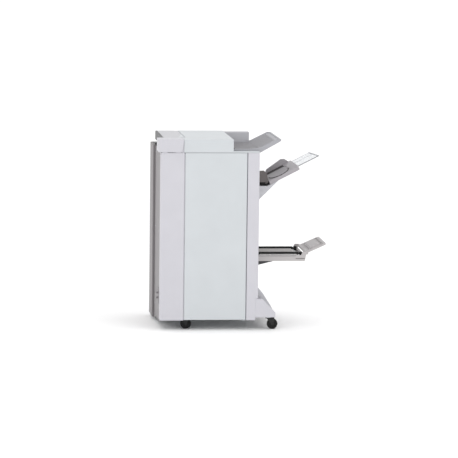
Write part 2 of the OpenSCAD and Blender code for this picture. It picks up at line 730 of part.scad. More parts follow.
// Staple head with a throat round the compiler's lower edge, on its guide rod
module stapler_head() color(dark) difference() {
    lo = path_y - 32;
    hi = path_y + 32;
    union() {
        block([-262, lo, 830], [-192, hi, 888]);
        block([-262, lo, 887], [-236, hi, 946]);
        block([-262, lo, 945], [-192, hi, 957]);
    }
    bar_y(rail_rod_at, 6 + run_fit, lo - 1, hi + 1);
}

// ---------- booklet maker ----------

module booklet_guide() color(steel) {
    for (x = [-58, -46]) difference() {
        block([x, path_y - 178, 250], [x + 2, path_y + 178, 800]);
        block([x - 1, path_y - path_half, fold_z - 7], [x + 3, path_y + path_half, fold_z + 7]);
    }
    block([-56, path_y - 178, 250], [-46, path_y + 178, 256]);
    for (z = [300, 700]) block([-60, inner_f, z], [-58, plate_b, z + 24]);
    // rails on which the fold knife slides
    for (y = [path_y - 140, path_y + 134])
        block([-150, y, fold_z - 16], [-58, y + 6, fold_z - 10]);
}

module fold_knife() color("silver") {
    block([-112, path_y - 164, fold_z - 1], [-62, path_y + 164, fold_z + 1]);
    block([-130, path_y - 150, fold_z - 9], [-112, path_y + 150, fold_z + 9]);
}

module fold_roller(at) {
    color(rubber_black) bar_y(at, fold_r, path_y - 180, path_y + 180);
    color(steel) bar_y(at, shaft_r, plate_f - 6, plate_b + 22);
}
module fold_roller_upper() {
    fold_roller(fold_up_at);
    color("seagreen") knob(fold_up_at, 14, -292, plate_f - 5);
}
module fold_roller_lower() fold_roller(fold_low_at);

// ---------- drives and electrics ----------

module lift_shaft() {
    color(steel) bar_y(lift_at, shaft_r, plate_f - 6, plate_b + 22);
    color("white") for (y = lift_ys) bar_y(lift_at, lift_r, y - 8, y + 8);
    color("white") bar_y(lift_at, 20, plate_b + 8, plate_b + 16);
}

// Two geared motors on the rear side plate and the lift's belts with lower idlers
module drive_motor() {
    color(dark) for (at = [[-200, 980], [-80, 1000]]) {
        bar_y(at, 28, plate_b + plate_t, plate_b + 52);
        block([at[0] - 34, plate_b + plate_t, at[1] - 34],
              [at[0] + 34, plate_b + 12, at[1] + 34]);
    }
    color(rubber_black) for (y = lift_ys) side_shape(y - 6, y + 6)
        translate([lift_at[0], 0]) rotate(90) difference() {
            stadium(lift_low_z, lift_at[1], lift_r + 1.8);
            stadium(lift_low_z, lift_at[1], lift_r + 0.3);
        }
    color("white") for (y = lift_ys) bar_y([lift_at[0], lift_low_z], lift_r + 0.3, y - 6, y + 6);
    color(steel) bar_y([lift_at[0], lift_low_z], shaft_r, plate_f + plate_t, plate_b);
}

// Power supply box and control board behind the rear side plate
module power_and_control() {
    color("silver") block([-470, plate_b + plate_t, 120], [-250, plate_b + 66, 300]);
    color("seagreen") block([-460, plate_b + 12, 520], [-240, plate_b + 14, 860]);
    color("silver") for (x = [-452, -252], z = [528, 848])
        translate([x, plate_b + 12, z]) rotate([90, 0, 0]) cylinder(r = 3, h = 10);
    color(dark) for (z = [560 : 60 : 800])
        block([-440, plate_b + 14, z], [-400, plate_b + 24, z + 40]);
    // socket for power and data, behind an opening of the rear cover
    color(dark) block([-128, plate_b + plate_t, 132], [-88, total_b - 4, 156]);
}

base_frame();
caster_plates();
caster_fork_front_left();
caster_fork_front_right();
caster_fork_rear_left();
caster_fork_rear_right();
caster_wheel_front_left();
caster_wheel_front_right();
caster_wheel_rear_left();
caster_wheel_rear_right();
front_side_plate();
rear_side_plate();
cross_stays();
front_left_cover();
front_right_column();
front_door();
door_hinges();
rear_cover();
docking_side_cover();
docking_plate();
docking_bracket();
exit_side_cover();
top_cover();
transport_front_cover();
jam_cover();
jam_cover_grip();
eject_block();
top_tray();
stacker_tray();
stacker_fence();
stacker_support();
stacker_carriage();
tray_extension();
booklet_tray();
booklet_bracket();
booklet_belts();
belt_drive_shaft();
belt_idler_shaft();
booklet_end_flap();
foot_cover_front();
foot_cover_rear();
kick_panel();
entry_shaft();
transport_shaft();
entry_guides();
punch_unit();
top_exit_shaft();
eject_shaft();
compiler_tray();
front_tamper();
rear_tamper();
stapler_head();
booklet_guide();
fold_knife();
fold_roller_upper();
fold_roller_lower();
elevator_rails();
lift_shaft();
drive_motor();
power_and_control();
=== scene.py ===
# %% [markdown]
# # A copier finisher, built round its frame
# The machine is a floor-standing finisher: a white cabinet on casters that
# takes sheets from a copier on its left and delivers them to three trays on
# its right. Its exact solids come first, as a fixed frame. Everything made
# below sits in that frame, in metres, and rides on one of its bodies.

# %% Load the frame
import json
import math

import bpy
from mathutils import Matrix, Vector

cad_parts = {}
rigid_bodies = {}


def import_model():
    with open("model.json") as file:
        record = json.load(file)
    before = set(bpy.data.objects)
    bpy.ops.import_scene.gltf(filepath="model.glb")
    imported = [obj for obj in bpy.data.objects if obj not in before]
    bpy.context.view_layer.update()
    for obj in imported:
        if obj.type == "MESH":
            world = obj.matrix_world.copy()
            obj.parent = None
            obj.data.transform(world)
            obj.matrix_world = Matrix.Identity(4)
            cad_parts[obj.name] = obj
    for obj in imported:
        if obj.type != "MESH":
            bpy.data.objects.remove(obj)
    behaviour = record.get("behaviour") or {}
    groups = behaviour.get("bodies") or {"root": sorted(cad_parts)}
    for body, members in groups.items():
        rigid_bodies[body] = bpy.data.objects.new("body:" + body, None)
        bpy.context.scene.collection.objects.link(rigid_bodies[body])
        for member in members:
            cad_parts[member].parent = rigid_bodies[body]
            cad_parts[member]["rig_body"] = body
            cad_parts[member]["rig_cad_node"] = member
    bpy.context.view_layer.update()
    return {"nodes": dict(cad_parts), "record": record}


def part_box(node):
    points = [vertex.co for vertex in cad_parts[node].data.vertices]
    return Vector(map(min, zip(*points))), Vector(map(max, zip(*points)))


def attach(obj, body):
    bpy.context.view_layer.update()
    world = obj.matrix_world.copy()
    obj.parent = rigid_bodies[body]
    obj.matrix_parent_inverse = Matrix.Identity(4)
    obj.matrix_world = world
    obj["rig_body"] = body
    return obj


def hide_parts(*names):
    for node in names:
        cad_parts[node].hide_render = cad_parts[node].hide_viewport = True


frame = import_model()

# %% [markdown]
# ## Working in millimetres
# Drawings of office machines are in millimetres and Blender is in metres, so
# two helpers translate: one reads a part's box from the frame, and the other
# turns millimetres into metres. All places below start from such a box.

# %% Millimetres
MM = 0.001


def mm(*values):
    """Millimetres to metres, as a vector."""
    return Vector(values) * MM


def box_mm(node_name):
    """Lowest and highest corner of a part of the frame, in millimetres."""
    low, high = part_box(node_name)
    return low / MM, high / MM


door_lo, door_hi = box_mm("front_door")
print("door", [round(v) for v in door_hi - door_lo], "mm")

# %% [markdown]
# ## Modelling by hand, in code
# Each new piece starts as a primitive at its real size and place. Faces and
# edges are then chosen by where they are, as a mouse would choose them, and
# edit-mode operators shape them. An operator acts on all that is selected,
# so everything is deselected before a primitive is added.

# %% Primitives and selection
def alone(piece):
    """Makes the piece the only selected object, and the active one."""
    if bpy.context.mode != "OBJECT":
        bpy.ops.object.mode_set(mode="OBJECT")
    bpy.ops.object.select_all(action="DESELECT")
    piece.select_set(True)
    bpy.context.view_layer.objects.active = piece


def settle(name):
    """Names the primitive just added and moves its place into its mesh."""
    piece = bpy.context.active_object
    piece.name = name
    piece.data.name = name
    alone(piece)
    bpy.ops.object.transform_apply(location=True, rotation=True, scale=True)
    return piece


def slab(name, low, high):
    """A box between two corners given in millimetres."""
    bpy.ops.object.select_all(action="DESELECT")
    low, high = Vector(low), Vector(high)
    bpy.ops.mesh.primitive_cube_add(
        size=1, location=(low + high) / 2 * MM, scale=(high - low) * MM)
    return settle(name)


def rod(name, start, end, radius, sides=32, end_radius=None):
    """A bar, or a cone, from one point to another, in millimetres."""
    bpy.ops.object.select_all(action="DESELECT")
    start, end = Vector(start), Vector(end)
    along = end - start
    turn = along.to_track_quat("Z", "Y").to_euler()
    tip = radius if end_radius is None else end_radius
    bpy.ops.mesh.primitive_cone_add(
        vertices=sides, radius1=radius * MM, radius2=tip * MM,
        depth=along.length * MM, location=(start + end) / 2 * MM, rotation=turn)
    return settle(name)


def choose(piece, kind, test):
    """Enters edit mode with the faces or edges selected that pass the test.
    The test gets the middle, in millimetres, and the normal or direction."""
    alone(piece)
    mesh = piece.data
    for group in (mesh.vertices, mesh.edges, mesh.polygons):
        for item in group:
            item.select = False
    found = 0
    if kind == "faces":
        for face in mesh.polygons:
            face.select = test(face.center / MM, face.normal)
            found += face.select
    else:
        for edge in mesh.edges:
            a, b = (mesh.vertices[i].co for i in edge.vertices)
            edge.select = test((a + b) / 2 / MM, (b - a).normalized())
            found += edge.select
    bpy.context.tool_settings.mesh_select_mode = (False, kind == "edges", kind == "faces")
    bpy.ops.object.mode_set(mode="EDIT")
    return found


def done():
    """Back to object mode."""
    bpy.ops.object.mode_set(mode="OBJECT")


# %% [markdown]
# ## Finishing a piece
# A moulded cover has no sharp edge anywhere: the tool that makes it is
# rounded, and that small radius is what catches the light. The Bevel modifier
# does this to every edge that is sharper than an angle. Weighted normals then
# keep the big flat faces flat in the shading.

# %% Modifiers and joining
def apply_modifier(piece, kind, **settings):
    """Adds one modifier with its settings and applies it."""
    alone(piece)
    modifier = piece.modifiers.new(kind.title(), kind)
    for key, value in settings.items():
        setattr(modifier, key, value)
    bpy.ops.object.modifier_apply(modifier=modifier.name)
    return piece


def round_edges(piece, radius, segments=2, angle=30):
    """Rounds every edge sharper than the angle, radius in millimetres."""
    return apply_modifier(
        piece, "BEVEL", width=radius * MM, segments=segments, limit_method="ANGLE",
        angle_limit=math.radians(angle), use_clamp_overlap=True)


def smooth(piece, angle=32):
    """Smooth shading up to an angle, with flat faces kept flat."""
    alone(piece)
    bpy.ops.object.shade_smooth_by_angle(angle=math.radians(angle))
    return apply_modifier(piece, "WEIGHTED_NORMAL", keep_sharp=True)


def cut(piece, *cutters):
    """Takes the cutters out of the piece."""
    for cutter in cutters:
        apply_modifier(piece, "BOOLEAN", operation="DIFFERENCE", object=cutter,
                       solver="EXACT")
        bpy.data.objects.remove(cutter)
    return piece


def joined(name, pieces):
    """Makes one object of several."""
    alone(pieces[0])
    for other in pieces[1:]:
        other.select_set(True)
    if len(pieces) > 1:
        bpy.ops.object.join()
    pieces[0].name = name
    pieces[0].data.name = name
    return pieces[0]


def copy_of(piece, shift=(0, 0, 0), name=None):
    """A copy with its own mesh, moved by millimetres."""
    twin = piece.copy()
    twin.data = piece.data.copy()
    twin.name = name or piece.name
    twin.data.transform(Matrix.Translation(mm(*shift)))
    bpy.context.scene.collection.objects.link(twin)
    return twin


def turned(piece, angle, axis, about):
    """Turns the piece's mesh about a line, in degrees and millimetres."""
    centre = Matrix.Translation(mm(*about))
    spin = Matrix.Rotation(math.radians(angle), 4, axis)
    piece.data.transform(centre @ spin @ centre.inverted())
    return piece


# %% [markdown]
# ## Materials
# Four families cover most of it: moulded ABS for covers and trays, sheet
# steel, rubber and clear polycarbonate. Colours are written as sRGB hex, the
# way a paint chart gives them, and one function turns them to linear light.

# %% Colour and node helpers
def linear(hex_code):
    """An sRGB hex colour as linear red, green, blue and alpha."""
    parts = [int(hex_code[i:i + 2], 16) / 255 for i in (0, 2, 4)]
    return [p / 12.92 if p <= 0.04045 else ((p + 0.055) / 1.055) ** 2.4
            for p in parts] + [1.0]


def add(tree, kind, values=None, links=None, **settings):
    """Adds one shader node with its settings, socket values and links."""
    node = tree.nodes.new(kind)
    for key, value in settings.items():
        setattr(node, key, value)
    for key, value in (values or {}).items():
        node.inputs[key].default_value = value
    for key, socket in (links or {}).items():
        tree.links.new(socket, node.inputs[key])
    return node


def surface(name, colour, roughness, grain, depth, metallic=0.0, mottle=0.04,
            stretch=(1, 1, 1), **sockets):
    """A finish whose grain, in millimetres, shades its colour, gloss and bump."""
    material = bpy.data.materials.new(name)
    material.use_nodes = True
    tree = material.node_tree
    tree.nodes.clear()
    where = add(tree, "ShaderNodeTexCoord")
    placed = add(tree, "ShaderNodeMapping", {"Scale": stretch},
                 {"Vector": where.outputs["Object"]})
    fine = add(tree, "ShaderNodeTexNoise", {"Scale": 1 / (grain * MM), "Detail": 3.0},
               {"Vector": placed.outputs[0]})
    # handling and ageing change the colour over about a hand's width
    cloud = add(tree, "ShaderNodeTexNoise", {"Scale": 8.0, "Detail": 2.0},
                {"Vector": where.outputs["Object"]})
    base = linear(colour)
    light = [min(1.0, c * (1 + mottle)) for c in base[:3]] + [1.0]
    dark = [c * (1 - mottle) for c in base[:3]] + [1.0]
    tint = add(tree, "ShaderNodeMix", {6: dark, 7: light},
               {0: cloud.outputs["Fac"]}, data_type="RGBA")
    gloss = add(tree, "ShaderNodeMapRange",
                {"To Min": roughness - 0.05, "To Max": roughness + 0.05},
                {"Value": fine.outputs["Fac"]})
    bump = add(tree, "ShaderNodeBump", {"Strength": depth, "Distance": grain * MM / 4},
               {"Height": fine.outputs["Fac"]})
    shader = add(tree, "ShaderNodeBsdfPrincipled", {"Metallic": metallic, **sockets},
                 {"Base Color": tint.outputs[2], "Roughness": gloss.outputs[0],
                  "Normal": bump.outputs[0]})
    add(tree, "ShaderNodeOutputMaterial", links={"Surface": shader.outputs[0]})
    return material


# %% [markdown]
# ### The finishes
# ABS, injection moulded against an etched tool, has a dull sheen that spreads
# highlights wide. Its grain is about a tenth of a millimetre, far too fine to
# show here, so it is drawn ten times coarser. The sheet steel is galvanised,
# which leaves a patchy grey. Shafts are ground round, so their scratches run
# across the light. The extension is clear polycarbonate, pressed and polished.

# %% Make the materials
ABS_GRAIN = 1.2
abs_white = surface("abs_moulded_white", "BFC3C6", 0.46, ABS_GRAIN, 0.12, IOR=1.54)
abs_warm = surface("abs_moulded_warm_white", "BEBDC3", 0.46, ABS_GRAIN, 0.12, IOR=1.54)
abs_grey = surface("abs_moulded_grey", "B7B7BB", 0.48, ABS_GRAIN, 0.12, IOR=1.54)
abs_taupe = surface("abs_moulded_taupe", "ACA8A8", 0.48, ABS_GRAIN, 0.12, IOR=1.54)
# the side panel's grey is darker than its own tone: the extra darkness paints the shade of
# the recessed docking side
abs_side_painted_shade = surface("abs_side_panel_painted_shade", "7C787A", 0.5, ABS_GRAIN, 0.12, IOR=1.54)
abs_dark = surface("abs_moulded_charcoal", "2A2A2C", 0.42, ABS_GRAIN, 0.15, IOR=1.54)
abs_green = surface("abs_moulded_green", "2E8A5B", 0.38, ABS_GRAIN, 0.1, IOR=1.54)
nylon_white = surface("nylon_moulded_white", "E4E4DE", 0.4, ABS_GRAIN, 0.05, IOR=1.53)
steel_sheet = surface("steel_sheet_galvanised", "B4B8BB", 0.36, 9.0, 0.05,
                      metallic=1.0, mottle=0.1)
steel_ground = surface("steel_shaft_ground", "C6C8CA", 0.2, 0.8, 0.06, metallic=1.0,
                       stretch=(1, 0.1, 1))
steel_black = surface("steel_pressed_black_coat", "0A0A0B", 0.5, 1.5, 0.1, IOR=1.5)
rubber_black = surface("rubber_moulded_black", "050505", 0.8, 0.9, 0.3, IOR=1.52)
rubber_grey = surface("rubber_roller_grey", "4A4A4C", 0.7, 0.7, 0.3, IOR=1.52)
board_green = surface("fibreglass_board_green", "1F5B3A", 0.3, 2.0, 0.1, IOR=1.5)
wire_red = surface("pvc_wire_red", "B0452F", 0.4, 1.0, 0.1, IOR=1.53)
abs_tray = surface("abs_moulded_tray_grey", "9B9BA0", 0.48, ABS_GRAIN, 0.12, IOR=1.54)
abs_stack = surface("abs_moulded_stacker_grey", "9C989C", 0.48, ABS_GRAIN, 0.12, IOR=1.54)
abs_brown = surface("abs_moulded_dark_taupe", "5C5655", 0.45, ABS_GRAIN, 0.12, IOR=1.54)
abs_deck = surface("abs_moulded_light_taupe", "B4B1B0", 0.48, ABS_GRAIN, 0.12, IOR=1.54)
painted_shade_brown = surface("dark_brown_painted_shade", "2B2524", 0.75, 0.8, 0.3, IOR=1.52)
frosted_grey = surface("polycarbonate_frosted_grey", "A9ABB0", 0.3, ABS_GRAIN, 0.05,
                       IOR=1.585)
print(len(bpy.data.materials), "finishes")

# %% Clear polycarbonate
clear_plastic = bpy.data.materials.new("polycarbonate_clear_polished")
clear_plastic.use_nodes = True
clear_shader = clear_plastic.node_tree.nodes["Principled BSDF"]
for socket, value in (("Base Color", linear("E9ECF0")), ("Roughness", 0.06),
                      ("IOR", 1.585), ("Transmission Weight", 0.92)):
    clear_shader.inputs[socket].default_value = value

# %% [markdown]
# ### Finishes for the parts of the frame
# Every part of the frame that stays visible gets the finish of its material
# slot. Parts replaced by a modelled piece further down keep it too, because
# the frame's own solids are still what the physics uses.

# %% Dress the frame
slot_finish = {
    "white_plastic": abs_white, "warm_white_plastic": abs_warm,
    "grey_plastic": abs_grey, "taupe_plastic": abs_taupe,
    "dark_plastic": abs_dark, "rear_paint": abs_warm,
    "frame_steel": steel_sheet, "roller_steel": steel_ground,
    "blade_steel": steel_ground, "caster_black": steel_black,
    "wheel_rubber": rubber_black, "belt_rubber": rubber_black,
    "clear_plastic": clear_plastic,
}
slot_of = {s["node"]: s["material_slot"] for s in frame["record"]["subparts"]}
body_of = {name: body for body, names in frame["record"]["behaviour"]["bodies"].items()
           for name in names}
for node_name, part in frame["nodes"].items():
    part.data.materials.clear()
    part.data.materials.append(slot_finish[slot_of[node_name]])
# the docking side cover and plate take the darkened grey, which paints the shade of their
# recess
for side_part in ("docking_side_cover", "docking_plate"):
    frame["nodes"][side_part].data.materials[0] = abs_side_painted_shade
frame["nodes"]["top_tray"].data.materials[0] = abs_tray
print("dressed", len(slot_of), "parts")


# %% Give a piece its finish and its body
def dress(piece, material, body, stands_for=()):
    """Smooths, paints and mounts a finished piece."""
    smooth(piece)
    piece.data.materials.clear()
    piece.data.materials.append(material)
    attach(piece, body)
    if stands_for:
        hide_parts(*stands_for)
    return piece


# %% [markdown]
# ## Soft edges for the moulded covers
# The frame's covers already have the right walls, slots and bores, but their
# edges are knife sharp. A copy of each is merged back into whole faces, its
# edges are rounded as its mould tool would be, and the copy is shown instead.

# %% Moulded copies
MERGE_WITHIN = 0.02  # millimetres between points that are one point
FLAT_WITHIN = 0.5  # degrees between faces that are one face


def moulded(node_name, radius, segments=2, material=None, angle=30, cutters=()):
    """Shows a round-edged copy in place of a part of the frame."""
    source = frame["nodes"][node_name]
    piece = copy_of(source, name=node_name + "_moulded")
    piece.parent = None
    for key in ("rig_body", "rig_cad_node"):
        if key in piece:
            del piece[key]
    alone(piece)
    bpy.ops.object.mode_set(mode="EDIT")
    bpy.ops.mesh.select_all(action="SELECT")
    bpy.ops.mesh.remove_doubles(threshold=MERGE_WITHIN * MM)
    bpy.ops.mesh.dissolve_limited(angle_limit=math.radians(FLAT_WITHIN))
    done()
    cut(piece, *cutters)
    round_edges(piece, radius, segments, angle)
    dress(piece, material or source.data.materials[0], body_of[node_name],
          [node_name])
    print(node_name, len(piece.data.polygons), "faces")
    return piece


cover_radii = {
    "front_door": 1.4, "front_left_cover": 1.4, "front_right_column": 1.4,
    "top_cover": 1.4, "transport_front_cover": 1.4, "jam_cover_grip": 1.5,
    "eject_block": 1.8, "docking_plate": 1.5, "rear_cover": 1.2,
    "exit_side_cover": 1.0, "foot_cover_front": 1.3, "foot_cover_rear": 1.3,
    "kick_panel": 1.3, "top_tray": 1.8, "stacker_support": 2.0,
    "booklet_tray": 1.4, "booklet_bracket": 1.5, "stapler_head": 1.5,
    "docking_side_cover": 0.8,
}
for node_name, radius in cover_radii.items():
    moulded(node_name, radius)

# %% [markdown]
# ## The bowed edge of the jam cover
# The grey cover's right edge looks bowed towards its front corner. The cover
# itself hinges there, so the corner outside the bow is a white inlay that
# lifts with it: one cutter makes both the pocket and, copied, the inlay.

# %% Jam cover and its corner inlay
jam_lo, jam_hi = box_mm("jam_cover")
BOW_RADIUS, BOW_START, INLAY_DEEP = 1670, 200, 1.2
BARREL_RADIUS = 6
barrel_x = jam_hi.x - BARREL_RADIUS
corner = slab("jam_cover_corner", (jam_hi.x - 60, jam_lo.y + 11, jam_hi.z - INLAY_DEEP),
              (barrel_x, BOW_START, jam_hi.z))
cut(corner, rod("bow", (jam_hi.x - BOW_RADIUS, BOW_START, jam_hi.z - 5),
                (jam_hi.x - BOW_RADIUS, BOW_START, jam_hi.z + 5), BOW_RADIUS, 360))
pocket = copy_of(corner)
# the pocket is cut a hair higher, so that no film is left above the inlay
pocket.data.transform(Matrix.Translation(mm(0, 0, 0.001)))
sleeve_bed = slab("sleeve_bed", (barrel_x, jam_lo.y + 9, jam_lo.z - 1),
                  (jam_hi.x + 1, BOW_START, jam_hi.z + 1))
moulded("jam_cover", 0.9, 2, cutters=[pocket, sleeve_bed])
sleeve = rod("sleeve", (barrel_x, jam_lo.y + 11, jam_hi.z - BARREL_RADIUS),
             (barrel_x, BOW_START - 0.3, jam_hi.z - BARREL_RADIUS),
             BARREL_RADIUS - 0.02, 48)
dress(joined("jam_cover_corner", [corner, sleeve]), abs_white, "jam_cover")

# %% [markdown]
# ## A few more hand tools
# Many parts of an office machine are the same few shapes: a face with a
# sunk or raised field, a rim with teeth, a sheet bent along a line, a wire.
# Each gets one function here, and is used all over the machine below.

# %% Sunk fields and toothed rims
def field(piece, test, border, height):
    """Insets the faces that pass the test, then raises or sinks them, in mm."""
    found = choose(piece, "faces", test)
    if found:
        bpy.ops.mesh.inset(thickness=border * MM, depth=0)
        bpy.ops.mesh.extrude_region_shrink_fatten(
            TRANSFORM_OT_shrink_fatten={"value": height * MM})
    done()
    return piece


def toothed(name, start, end, radius, teeth, height):
    """A wheel whose every second side face is drawn out into a tooth."""
    piece = rod(name, start, end, radius - height, sides=2 * teeth)
    middle = (Vector(start) + Vector(end)) / 2
    step = math.pi / teeth

    def is_tooth(centre, normal):
        if abs(normal.y) > 0.5:
            return False
        angle = math.atan2(centre.z - middle.z, centre.x - middle.x)
        return int((angle + 4 * math.pi) / step) % 2 == 0

    choose(piece, "faces", is_tooth)
    bpy.ops.mesh.extrude_region_shrink_fatten(
        TRANSFORM_OT_shrink_fatten={"value": height * MM})
    done()
    return piece


# %% Bent sheet
def bent_sheet(name, points, y0, y1, thickness):
    """A sheet along Y, bent through (x, z) points in millimetres."""
    bpy.ops.object.select_all(action="DESELECT")
    (xa, za), (xb, zb) = points[0], points[1]
    bpy.ops.mesh.primitive_plane_add(
        size=1, location=mm((xa + xb) / 2, (y0 + y1) / 2, (za + zb) / 2),
        rotation=(0, -math.atan2(zb - za, xb - xa), 0))
    bpy.context.active_object.scale = (
        math.dist((xa, za), (xb, zb)) * MM, (y1 - y0) * MM, 1)
    piece = settle(name)
    for (xa, za), (xb, zb) in zip(points[1:], points[2:]):
        choose(piece, "edges", lambda middle, way: abs(way.y) > 0.9
               and math.dist((middle.x, middle.z), (xa, za)) < 0.1)
        bpy.ops.mesh.extrude_region_move(
            TRANSFORM_OT_translate={"value": mm(xb - xa, 0, zb - za)})
        done()
    return apply_modifier(piece, "SOLIDIFY", thickness=thickness * MM, offset=-1)


# %% Wires
def wire(name, points, radius, material, body="cabinet"):
    """A round wire through points in millimetres, bent softly at each."""
    curve = bpy.data.curves.new(name, "CURVE")
    curve.dimensions = "3D"
    curve.bevel_depth = radius * MM
    curve.bevel_resolution = 3
    curve.resolution_u = 8
    spline = curve.splines.new("BEZIER")
    spline.bezier_points.add(len(points) - 1)
    for knot, place in zip(spline.bezier_points, points):
        knot.co = mm(*place)
        knot.handle_left_type = knot.handle_right_type = "AUTO"
    piece = bpy.data.objects.new(name, curve)
    bpy.context.scene.collection.objects.link(piece)
    curve.materials.append(material)
    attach(piece, body)
    return piece


# %% [markdown]
# ## Screws
# Covers are held by pan-head screws with a cross recess. One is modelled: a
# short cylinder, its top edge rounded by a bevel, and two thin bars cut from
# it. Every other screw is a copy turned to face its wall.

# %% One screw
def one_screw(name, radius):
    """A pan head whose underside is at the origin and whose top is at +Z."""
    head = rod(name, (0, 0, 0), (0, 0, radius * 0.5), radius, sides=24)
    choose(head, "edges", lambda middle, way: middle.z > radius * 0.4)
    bpy.ops.mesh.bevel(offset=radius * 0.3 * MM, segments=3)
    done()
    slot_half = radius * 0.09
    for long_x, long_y in ((0.55, 0.0), (0.0, 0.55)):
        bar = slab("cross", (-slot_half - radius * long_x, -slot_half - radius * long_y,
                             radius * 0.25),
                   (slot_half + radius * long_x, slot_half + radius * long_y, radius))
        cut(head, bar)
    return head


def screws(name, radius, places, facing, body):
    """Copies of one screw at places in millimetres, facing along a vector."""
    master = one_screw(name, radius)
    turn = Vector(facing).to_track_quat("Z", "Y").to_matrix().to_4x4()
    heads = []
    for place in places:
        head = copy_of(master)
        head.data.transform(Matrix.Translation(mm(*place)) @ turn)
        heads.append(head)
    bpy.data.objects.remove(master)
    return dress(joined(name, heads), steel_ground, body)


COVER_SCREW, CASTER_BOLT, BASE_TOP = 4.2, 6.0, 84
side_lo = box_mm("docking_side_cover")[0]
screws("docking_side_screws", COVER_SCREW,
       [(side_lo.x, y, z) for y in (-250, 20) for z in (120, 600, 1060)],
       (-1, 0, 0), "cabinet")
rear_y = box_mm("rear_cover")[1].y
screws("rear_cover_screws", COVER_SCREW,
       [(x, rear_y - 2.3, z) for x in (-486, -210, 72) for z in (110, 560, 1050)],
       (0, 1, 0), "cabinet")
exit_x = box_mm("exit_side_cover")[1].x
screws("exit_side_screws", COVER_SCREW,
       [(exit_x, y, z) for y in (-285, 298) for z in (330, 640, 950)],
       (1, 0, 0), "cabinet")
plate_middles = ((-369, -262), (-369, 270), (160, -290), (160, 270))
screws("caster_bolts", CASTER_BOLT,
       [(x + dx, y + dy, BASE_TOP) for x, y in plate_middles
        for dx in (-28, 28) for dy in (-22, 22)], (0, 0, 1), "cabinet")
print("screws done")

# %% [markdown]
# ## Behind the joints of the covers
# The gaps round the door show pale parts behind them, not a dark void. One is
# a frame that the door closes against: a slab with its middle cut right
# through. The other is a flange that stands in the gap on the left.

# %% Door seal
seal = slab("door_seal", (door_lo.x - 12, door_hi.y + 1.5, door_lo.z - 2),
            (door_hi.x + 6, door_hi.y + 3.5, door_hi.z + 6))
cut(seal, slab("opening", (door_lo.x + 14, door_hi.y, door_lo.z + 20),
               (door_hi.x - 14, door_hi.y + 5, door_hi.z - 20)))
dress(seal, abs_white, "cabinet")
flange = slab("door_gap_flange", (door_lo.x - 3.2, door_lo.y + 5, door_lo.z),
              (door_lo.x - 0.8, door_lo.y + 22, door_hi.z))
dress(round_edges(flange, 0.4, 1), abs_warm, "cabinet")

# %% Skirt under the docking side cover
SKIRT_Z = 26
skirt = slab("docking_side_skirt", (side_lo.x + 0.4, side_lo.y + 2, SKIRT_Z),
             (side_lo.x + 2.6, 94, side_lo.z + 8))
# the front end of its lower edge is lifted, so that the edge slopes
choose(skirt, "edges", lambda c, w: abs(w.x) > 0.9 and c.z < SKIRT_Z + 1 and c.y < 0)
bpy.ops.transform.translate(value=mm(0, 0, 30))
done()
# the skirt takes the same darkened grey, so its colour is painted shade
dress(skirt, abs_side_painted_shade, "cabinet")

# %% Liners behind the gaps of the transport cover
box_lo, box_hi = box_mm("transport_front_cover")
liners = [slab("liner", (box_hi.x - 13, door_lo.y + 3.4, box_lo.z - 3),
               (box_hi.x + 1.6, door_lo.y + 5.4, box_hi.z - 4)),
          slab("liner", (box_lo.x + 17, door_lo.y + 2, box_lo.z - 4),
               (box_hi.x + 1.6, door_lo.y + 4, box_lo.z + 2))]
dress(joined("transport_cover_liners", liners), abs_warm, "cabinet")

# %% Door ribs and catches
door_ribs = [slab("rib", (door_lo.x + 3, door_lo.y + 3, z), (-9, door_lo.y + 13, z + 2.2))
             for z in range(164, 1064, 100)]
door_ribs += [slab("rib", (x, door_lo.y + 3, door_lo.z + 3),
                   (x + 2.2, door_lo.y + 11, door_hi.z - 3)) for x in (-270, -180, -90)]
dress(joined("door_inner_ribs", door_ribs), abs_white, "door")
catches = []
CATCH_Z = (250, 860)
for z in CATCH_Z:
    plate = slab("catch", (door_lo.x + 6, door_hi.y - 7, z),
                 (door_lo.x + 30, door_hi.y - 0.4, z + 44))
    catches.append(field(plate, lambda c, n: n.y > 0.9, 5, -1.5))
dress(round_edges(joined("door_catch_plates", catches), 0.8), steel_sheet, "door")
magnets = []
for z in CATCH_Z:
    magnets.append(slab("magnet", (door_lo.x + 16, door_hi.y + 0.6, z + 6),
                        (door_lo.x + 28, door_hi.y + 12, z + 38)))
    magnets.append(slab("arm", (door_lo.x + 16, door_hi.y + 12, z + 12),
                        (door_lo.x + 19, -262, z + 32)))
dress(round_edges(joined("door_magnets", magnets), 0.6), abs_dark, "cabinet")

# %% [markdown]
# ## The stacker tray
# The tray's own solid is copied and merged like the covers. A shallow bowl is
# sunk in its running surface so that fingers can get under a stack. A dark brown
# bead on its rim paints the thin line of shade at the bowl's edge, and a dark
# ribbed pad along the back paints the band of shade along the tray's back.

# %% Sloped helper
STACK_SLOPE = math.radians(27)
STACK_TIP = (346, 985)


def laid_on_slope(piece):
    """Carries a piece drawn flat, with its origin at the tray's tip, up the slope."""
    piece.data.transform(Matrix.Translation(mm(STACK_TIP[0], 0, STACK_TIP[1]))
                         @ Matrix.Rotation(-STACK_SLOPE, 4, "Y"))
    return piece


# %% Stacker tray body
BOWL_U, BOWL_Y, BOWL_HALF_U, BOWL_HALF_Y, BOWL_END = -119, -100, 66, 128, 40
BOWL_FLOOR, ABOVE_TRAY = 9, 15
stretch = (Matrix.Translation(mm(BOWL_U, BOWL_Y, 0))
           @ Matrix.Diagonal((1, BOWL_HALF_Y / BOWL_HALF_U, 1, 1)))
bowl = rod("bowl", (0, 0, BOWL_FLOOR), (0, 0, ABOVE_TRAY), BOWL_HALF_U, sides=72)
bowl.data.transform(stretch)
bowl_back = slab("bowl_back", (BOWL_U - BOWL_HALF_U, BOWL_Y, BOWL_FLOOR),
                 (BOWL_U + BOWL_HALF_U, BOWL_END, ABOVE_TRAY))
moulded("stacker_tray", 1.2, 2, abs_stack,
        cutters=[laid_on_slope(bowl), laid_on_slope(bowl_back)])
